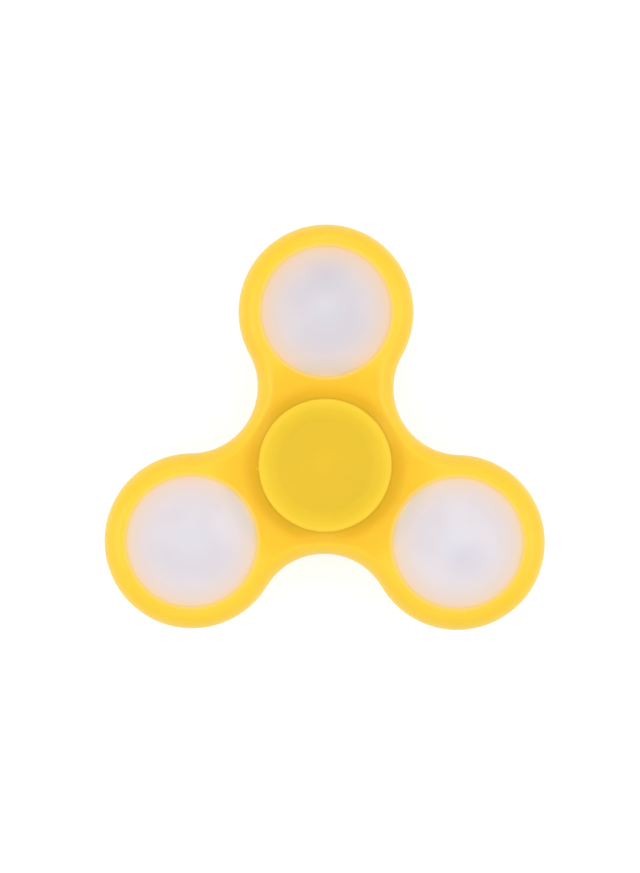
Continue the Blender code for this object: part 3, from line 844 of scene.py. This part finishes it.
def finger_pads(finish):
    """The front pad has a socket, and the rear pad a pin that is pressed into it."""
    socket_radius, socket_end = 2.1, 5.2
    pin_radius, pin_end, pin_ease = 2.0, -5.0, 0.2
    socket = [(socket_radius, STEM_END), (socket_radius, socket_end), (0, socket_end)]
    pin = [(pin_radius, STEM_END), (pin_radius, pin_end + pin_ease)]
    pin += [(pin_radius - pin_ease, pin_end), (0, pin_end)]
    show("front_pad", turned(pad_profile() + socket), finish, "front_finger_pad")
    show("rear_pad", turned(flipped(pad_profile() + pin)), finish, "rear_finger_pad")
    show("front_pad_gate_nib", gate_nib(), finish, "front_finger_pad")


def light_pods():
    lens_finishes = [frosted_lens(k) for k in range(LOBES)]
    cover = cover_mesh(), white_plastic("cover_white", (0.74, 0.74, 0.75), 0.35)
    button = button_mesh(), white_plastic("button_white", (0.78, 0.78, 0.79), 0.25)
    for k, finish in enumerate(lens_finishes):
        pod, place, turn = f"pod_{k + 1}", lobe_centre(k), lobe_angle(k) - lobe_angle(0)
        show(f"{pod}_frosted_lens", lens_mesh(), finish, f"{pod}_lens", place, turn)
        show(f"{pod}_back", *cover, f"{pod}_rear_cover", place, turn)
        show(f"{pod}_push_button", *button, f"{pod}_button", place, turn)


# Bearing


def ball_angle(index):
    return tau * (0.25 + index / BALLS)


def groove(shoulder):
    """The arc of a ball groove, from its front edge to its rear edge, as the shoulder cuts it."""
    reach = degrees(acos(abs(shoulder - PITCH_RADIUS) / GROOVE_RADIUS))
    middle = 180 if shoulder < PITCH_RADIUS else 0
    sweep = -reach if shoulder > PITCH_RADIUS else reach
    return arc((PITCH_RADIUS, 0), GROOVE_RADIUS, middle - sweep, middle + sweep, 20)


def inner_race():
    side = [(BEARING_BORE, BEARING_HALF - RACE_CHAMFER), (BEARING_BORE + RACE_CHAMFER, BEARING_HALF)]
    side += [(INNER_SHOULDER - RACE_CHAMFER, BEARING_HALF), (INNER_SHOULDER, BEARING_HALF - RACE_CHAMFER)]
    return turned(eased(side + groove(INNER_SHOULDER) + flipped(side), 0.12))


def outer_race():
    side = [(BEARING_RADIUS, BEARING_HALF - RACE_CHAMFER), (BEARING_RADIUS - RACE_CHAMFER, BEARING_HALF)]
    side += [(SHIELD_SEAT, BEARING_HALF), (SHIELD_SEAT, SHIELD_Z), (OUTER_SHOULDER, SHIELD_Z)]
    return turned(eased(side + groove(OUTER_SHOULDER) + flipped(side), 0.12))


def shield():
    """A pressed sheet: its rim is curled up into the outer race, and a step stiffens it."""
    thick, curl, curl_height = 0.2, 0.2, 0.15
    step, step_outer, step_inner, inner = 0.1, 8.7, 8.3, 6.3
    rim, low = SHIELD_SEAT - TOUCH, SHIELD_Z + TOUCH
    high = low + thick
    upper = [(rim, high + curl_height), (rim - curl, high + curl_height), (rim - 2 * curl, high)]
    upper += [(step_outer, high), (step_inner, high + step), (inner, high + step)]
    lower = [(inner, low + step), (step_inner, low + step), (step_outer, low), (rim, low)]
    return eased(upper + lower, 0.08)


def cage_half(side):
    """A pressed ribbon with a pocket over each ball. Rivet heads stand on the lands between the pockets."""
    steps, edge, bend = 22, 0.06, 0.2  # the ribbon's rounded edges, and their share of its thickness
    arches = []
    for thick in (0, CAGE_THICK):
        start = degrees(asin((TOUCH + thick) / (POCKET_RADIUS + thick)))
        arches.append(arc((0, 0), POCKET_RADIUS + thick, 180 - start, start, steps))
    section = [(CAGE_INNER + edge, 0), (CAGE_OUTER - edge, 0), (CAGE_OUTER, bend), (CAGE_OUTER, 1 - bend)]
    section += [(CAGE_OUTER - edge, 1), (CAGE_INNER + edge, 1), (CAGE_INNER, 1 - bend), (CAGE_INNER, bend)]
    rings = []
    for k in range(BALLS):
        for low, high in zip(*arches):
            ring = []
            for radius, share in section:
                along_arc, z = Vector(low).lerp(Vector(high), share)
                angle = ball_angle(k) + along_arc / PITCH_RADIUS
                ring.append((radius * cos(angle), radius * sin(angle), side * z))
            rings.append(ring)
    shape = bmesh.new()
    add_strip(shape, rings, closed=True)
    rivet = Vector((0.5, 0.5, 0.16))  # the head's radii
    for k in range(BALLS):
        place = Vector((*along(ball_angle(k + 0.5), PITCH_RADIUS), side * (TOUCH + CAGE_THICK)))
        head = Matrix.LocRotScale(place, None, rivet)
        bmesh.ops.create_uvsphere(shape, u_segments=SMALL, v_segments=12, radius=1, matrix=head)
    return mesh_from(shape)


def ball():
    shape = bmesh.new()
    low, high = box_mm("bearing_ball_1")
    bmesh.ops.create_icosphere(shape, subdivisions=4, radius=(high.z - low.z) / 2)
    return mesh_from(shape)


def bearing():
    race, ball_finish = turned_steel("race_steel", (0.62, 0.62, 0.63), 0.16), ball_steel()
    sheet = pressed_steel("shield_steel", (0.52, 0.52, 0.53), 0.25)
    pieces = [
        ("inner_race", inner_race(), race),
        ("outer_race", outer_race(), race),
        ("shield_front", turned(shield()), sheet),
        ("shield_rear", turned(flipped(shield())), sheet),
        ("cage_front", cage_half(1), sheet),
        ("cage_rear", cage_half(-1), sheet),
    ]
    for name, mesh, finish in pieces:
        show(f"fine_{name}", mesh, finish, f"bearing_{name}")
    round_ball = ball()
    for k in range(BALLS):
        place = along(ball_angle(k), PITCH_RADIUS)
        show(f"polished_ball_{k + 1}", round_ball, ball_finish, f"bearing_ball_{k + 1}", place)


# Works of a light pod, each made about the pod's own axis


def board_slots():
    """Cutters for the slots that the clip's legs go through."""
    room = 0.1
    inner, outer = CLIP_HIGH.x - CLIP_THICK - room, CLIP_HIGH.x + room
    half = (CLIP_HIGH.y - CLIP_LOW.y) / 2 + room
    low, high = BOARD_LOW.z - PAST, BOARD_HIGH.z + PAST
    return [block((x, -half, low), (x + outer - inner, half, high), 0.03) for x in (inner, -outer)]


def ring_track(radius, z):
    inner, outer = radius - TRACK_WIDTH / 2, radius + TRACK_WIDTH / 2
    low, high = z - TRACK_PROUD, z + TRACK_PROUD
    return turned([(inner, low), (outer, low), (outer, high), (inner, high)])


def straight_track(start, end, z):
    start, end = Vector(start), Vector(end)
    reach = (end - start).length
    half = TRACK_WIDTH / 2
    track = block((-half, -half, z - TRACK_PROUD), (reach + half, half, z + TRACK_PROUD), 0.01)
    return moved(track, *start, atan2(end.y - start.y, end.x - start.x))


def board_mesh(laminate, copper, metal):
    """The round board: slots for the clip's legs, a contact under the cell, tracks, and pads for the LEDs."""
    radius, low, high = BOARD_HIGH.x, BOARD_LOW.z, BOARD_HIGH.z
    ring, inner_ring, contact_radius, pad_radius, pad_offset = 8.95, 6.5, 4.6, 0.45, 1.3
    disc = carved(post(radius, low, high, 0.08, ROUND), *board_slots())
    contact = post(contact_radius, high - TRACK_PROUD, high + TRACK_PROUD, 0.02)
    pad = post(pad_radius, high - TRACK_PROUD, high + TRACK_PROUD, 0.02, SMALL)
    parts = [(disc, laminate), (contact, metal)]
    parts += [(ring_track(r, z), copper) for r in (ring, inner_ring) for z in (low, high)]
    tracks = []
    for k in range(LOBES):
        out, across = along(lobe_angle(k), 1.0), along(lobe_angle(k) + pi / 2, pad_offset)
        to_ring, to_inner = out * LED_DISTANCE + across, out * LED_DISTANCE - across
        parts += [(moved(pad, *to_ring), metal), (moved(pad, *to_inner), metal)]
        tracks.append((to_ring, to_ring.normalized() * ring, high))
        tracks.append((to_inner.normalized() * inner_ring, to_inner, high))
    middle, far = 1.5, inner_ring * 0.9  # ends of the tracks on the rear, at the switch and beyond it
    tracks += [((x, -inner_ring), (x * 1.1, -middle), low) for x in (-1.5, -0.5, 0.5, 1.5)]
    tracks += [((x, middle), (x * 1.6, far), low) for x in (-1.8, 1.8)]
    parts += [(straight_track(*track), copper) for track in tracks]
    return joined(*parts)


def led_mesh(white, glow, metal):
    """A surface-mount LED: a white package with a sunken window, between two metal ends."""
    half_x, half_y = (LED_HIGH.y - LED_LOW.y) / 2, (LED_HIGH.x - LED_LOW.x) / 2
    low, high = LED_LOW.z, LED_HIGH.z
    inset, end_long, end_high, end_proud = 0.1, 0.35, 0.5, 0.03
    window_x, window_y, window_depth, brim = half_x * 0.7, half_y * 0.7, 0.2, 0.09
    package = block((-half_x, -half_y + inset, low), (half_x, half_y - inset, high), 0.1)
    window = block((-window_x, -window_y, high - window_depth), (window_x, window_y, high + PAST), 0.08)
    fill = block((-window_x, -window_y, high - 2 * window_depth), (window_x, window_y, high - brim), 0.08)
    parts = [(carved(package, window), white), (fill, glow)]
    across = half_x + end_proud
    for side in (-1, 1):
        near, far = sorted((side * half_y, side * (half_y - end_long)))
        parts.append((block((-across, near, low), (across, far, low + end_high), 0.04), metal))
    return joined(*parts)


def cell_mesh(steel, plastic):
    """A coin cell: the can, and a smaller cap towards the board with a sealing ring between them."""
    low, high, radius = CELL_LOW.z, CELL_HIGH.z, (CELL_HIGH.x - CELL_LOW.x) / 2
    cap, can, lip, proud = 5.1, low + 0.15, 0.12, 0.03
    seal_inner, seal_outer, seal_low, seal_high = cap - 0.05, radius - 0.62, can - 0.04, can + 0.2
    face = [(0, high), (radius - 1.0, high), (radius - 0.9, high - proud), (radius, high - proud)]
    can_profile = face + [(radius, can), (radius - 0.5, can), (radius - 0.6, can + lip), (0, can + lip)]
    cap_profile = [(0, can + lip), (cap, can + lip), (cap, low), (0, low)]
    ring = [(seal_inner, seal_low), (seal_outer, seal_low), (seal_outer, seal_high), (seal_inner, seal_high)]
    steel_can, steel_cap = turned(eased(can_profile, 0.2)), turned(eased(cap_profile, 0.08))
    seal = turned(eased(ring, 0.03))
    return joined((steel_can, steel), (steel_cap, steel), (seal, plastic))


def clip_mesh():
    """The sprung strip over the cell, bent down into a leg on each side."""
    outer, foot, high = CLIP_HIGH.x, CLIP_LOW.z, CLIP_HIGH.z
    inner = outer - CLIP_THICK
    outside = [(outer, foot), (outer, high), (-outer, high), (-outer, foot)]
    inside = [(-inner, foot), (-inner, high - CLIP_THICK), (inner, high - CLIP_THICK), (inner, foot)]
    half_width = (CLIP_HIGH.y - CLIP_LOW.y) / 2
    return bar(eased(outside + inside, 0.3, 5), -half_width, half_width, 0.04)


def controller_mesh():
    """A drop of resin that has set over the chip, under the board."""
    radius, low, high, fullness = (BLOB_HIGH.x - BLOB_LOW.x) / 2, BLOB_LOW.z, BLOB_HIGH.z, 0.8
    quarter = arc((0, 0), 1, 0, -90, 16)[:-1]
    blob = [(r**fullness * radius, high + z * (high - low)) for r, z in quarter]
    return turned([(0, high)] + blob + [(0, low)], MEDIUM)


def switch_base_mesh(plastic):
    """The square housing with its round pocket. Four heads hold the metal plate."""
    pocket_radius, floor = 1.65, -2.05
    half = (SWITCH_HIGH.x - SWITCH_LOW.x) / 2
    head_radius, head_proud, head_sunk, corner = 0.32, 0.12, 0.1, half - 0.5
    housing = block((-half, -half, SWITCH_LOW.z), (half, half, SWITCH_HIGH.z), 0.12)
    pocket = post(pocket_radius, SWITCH_LOW.z - PAST, floor, 0.05)
    head = post(head_radius, PLATE_LOW.z - head_proud, SWITCH_LOW.z + head_sunk, 0.1, SMALL)
    parts = [(carved(housing, pocket), plastic)]
    for x in (-corner, corner):
        parts += [(moved(head, x, y), plastic) for y in (-corner, corner)]
    return joined(*parts)


def switch_plate_mesh():
    hole_radius, half = 1.2, (PLATE_HIGH.x - PLATE_LOW.x) / 2
    hole = post(hole_radius, PLATE_LOW.z - PAST, PLATE_HIGH.z + PAST, 0.05)
    plate = block((-half, -half, PLATE_LOW.z), (half, half, PLATE_HIGH.z), 0.05)
    return carved(plate, hole)


def dome_mesh():
    """The snap dome, a thin cap bulging towards the plunger."""
    radius, thick, steps = (DOME_HIGH.x - DOME_LOW.x) / 2, 0.1, 14
    rise = DOME_HIGH.z - thick - DOME_LOW.z
    outside = [(radius * i / steps, DOME_LOW.z + rise * (i / steps) ** 2) for i in range(steps + 1)]
    inside = [(r, z + thick) for r, z in reversed(outside)]
    return turned(outside + inside, MEDIUM)


def plunger_mesh():
    flange, stem, low, high = 1.5, 1.1, PLUNGER_LOW.z, PLUNGER_HIGH.z
    shoulder = SWITCH_LOW.z
    profile = [(0, high), (flange, high), (flange, shoulder), (stem, shoulder), (stem, low), (0, low)]
    return turned(eased(profile, 0.12), MEDIUM)


def pod_works():
    """Board, lights, cell and switch of each pod. Each snap dome, which the button's plunger flattens when
    pressed, gets a mesh of its own.
    """
    spring = pressed_steel("spring_steel", (0.66, 0.64, 0.6), 0.2)
    black = black_plastic("switch_plastic", 0.4)
    metal = tin()
    white = white_plastic("led_white", (0.8, 0.79, 0.76), 0.3)
    cell = cell_mesh(turned_steel("cell_steel", (0.68, 0.68, 0.66), 0.22), black)
    pieces = [
        ("board", board_mesh(board_laminate(), masked_copper(), metal), None),
        ("coin_cell", cell, None),
        ("cell_clip", clip_mesh(), spring),
        ("switch_base", switch_base_mesh(black), None),
        ("switch_cover", switch_plate_mesh(), spring),
        ("switch_plunger", plunger_mesh(), black),
    ]
    blob, resin = controller_mesh(), black_plastic("controller_resin", 0.2)
    lamp = led_mesh(white, phosphor(), metal)
    dome = dome_mesh()
    for k in range(LOBES):
        pod, place, turn = f"pod_{k + 1}", lobe_centre(k), lobe_angle(k) - lobe_angle(0)
        for name, mesh, finish in pieces:
            show(f"{pod}_fine_{name}", mesh, finish, f"{pod}_{name}", place, turn)
        show(f"{pod}_resin_blob", blob, resin, f"{pod}_controller", centre_of(f"{pod}_controller"))
        for i, letter in enumerate("abc"):
            facing = lobe_angle(i) + turn
            spot = place + along(facing, LED_DISTANCE)
            show(f"{pod}_lamp_{letter}", lamp, None, f"{pod}_led_{letter}", spot, facing)
        snap = show(f"{pod}_snap_dome", dome, spring, f"{pod}_switch_dome", place, turn)
        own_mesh(snap)


# Stage


def stage_floor():
    """A pale floor a hair below the spinner. It is clear from below, so that the back can be looked at."""
    metres, gap = 3.0, 0.02
    shape = bmesh.new()
    bmesh.ops.create_grid(shape, x_segments=8, y_segments=8, size=metres)
    mesh = bpy.data.meshes.new("floor")
    shape.to_mesh(mesh)
    shape.free()
    floor = bpy.data.objects.new("floor", mesh)
    floor.location = (0, 0, (FLOOR_Z - gap) * MM)
    bpy.context.scene.collection.objects.link(floor)
    glow = {"Emission_Strength": 0.75, "Emission_Color": (1, 1, 1, 1)}
    made = Finish("floor_white", Roughness=0.9, Specular_IOR_Level=0.0, **glow)
    made.colour(made.mix(made.noise(0.05), (0.29, 0.29, 0.29), (0.32, 0.32, 0.32)))
    below = made.node("NewGeometry").outputs["Backfacing"]
    clear = made.node("BsdfTransparent").outputs[0]
    either = made.node("MixShader")
    for value, socket in zip((below, made.shader.outputs[0], clear), either.inputs):
        made.put(value, socket)
    made.put(either.outputs[0], made.tree.nodes["Material Output"].inputs["Surface"])
    mesh.materials.append(made.material)


def soft_box(name, azimuth, watts):
    """A soft light that looks at the spinner. Its angles are in degrees and its lengths in metres."""
    elevation, distance, size = 33, 0.6, (0.45, 0.28)
    light = bpy.data.lights.new(name, "AREA")
    light.shape = "RECTANGLE"
    light.size, light.size_y = size
    light.energy = watts
    lamp = bpy.data.objects.new(name, light)
    a, e = radians(azimuth), radians(elevation)
    away = Vector((cos(a) * cos(e), sin(a) * cos(e), sin(e)))
    lamp.location = away * distance
    lamp.rotation_euler = away.to_track_quat("Z", "Y").to_euler()
    lamp.visible_camera = False
    bpy.context.scene.collection.objects.link(lamp)


def studio():
    scene = bpy.context.scene
    scene.view_settings.view_transform = "Standard"
    world = bpy.data.worlds.new("studio")
    world.use_nodes = True
    nodes, links = world.node_tree.nodes, world.node_tree.links
    split = nodes.new("ShaderNodeSeparateXYZ")
    links.new(nodes.new("ShaderNodeTexCoord").outputs["Generated"], split.inputs[0])
    dome = nodes.new("ShaderNodeMapRange")
    dome.inputs["To Min"].default_value = 0.42  # at the horizon
    dome.inputs["To Max"].default_value = 1.25  # straight up
    links.new(split.outputs["Z"], dome.inputs["Value"])
    links.new(dome.outputs[0], nodes["Background"].inputs["Strength"])
    nodes["Background"].inputs["Color"].default_value = (1, 1, 1, 1)
    scene.world = world
    boxes = [("right", 0, 0.8), ("far", 90, 0.4), ("left", 180, 0.8), ("near", 270, 0.28)]
    for name, azimuth, watts in boxes:
        soft_box(f"{name}_box", azimuth, watts)


def camera():
    """Straight above, turned a little, with the spinner a little low and right of the middle."""
    lens, sensor, view_height = 250.0, 36.0, 148.85
    aside, ahead, turn = -0.90, 4.87, 0.35
    data = bpy.data.cameras.new("camera")
    data.lens = lens
    data.sensor_width = sensor
    data.clip_end = 10.0
    eye = bpy.data.objects.new("camera", data)
    eye.location = (aside * MM, ahead * MM, view_height * lens / sensor * MM)
    eye.rotation_euler = (0, 0, radians(turn))
    bpy.context.scene.collection.objects.link(eye)
    bpy.context.scene.camera = eye


show("rotor_body", body_mesh(), body_yellow(), "spinner_body")
finger_pads(pad_yellow())
light_pods()
bearing()
pod_works()
stage_floor()
studio()
camera()
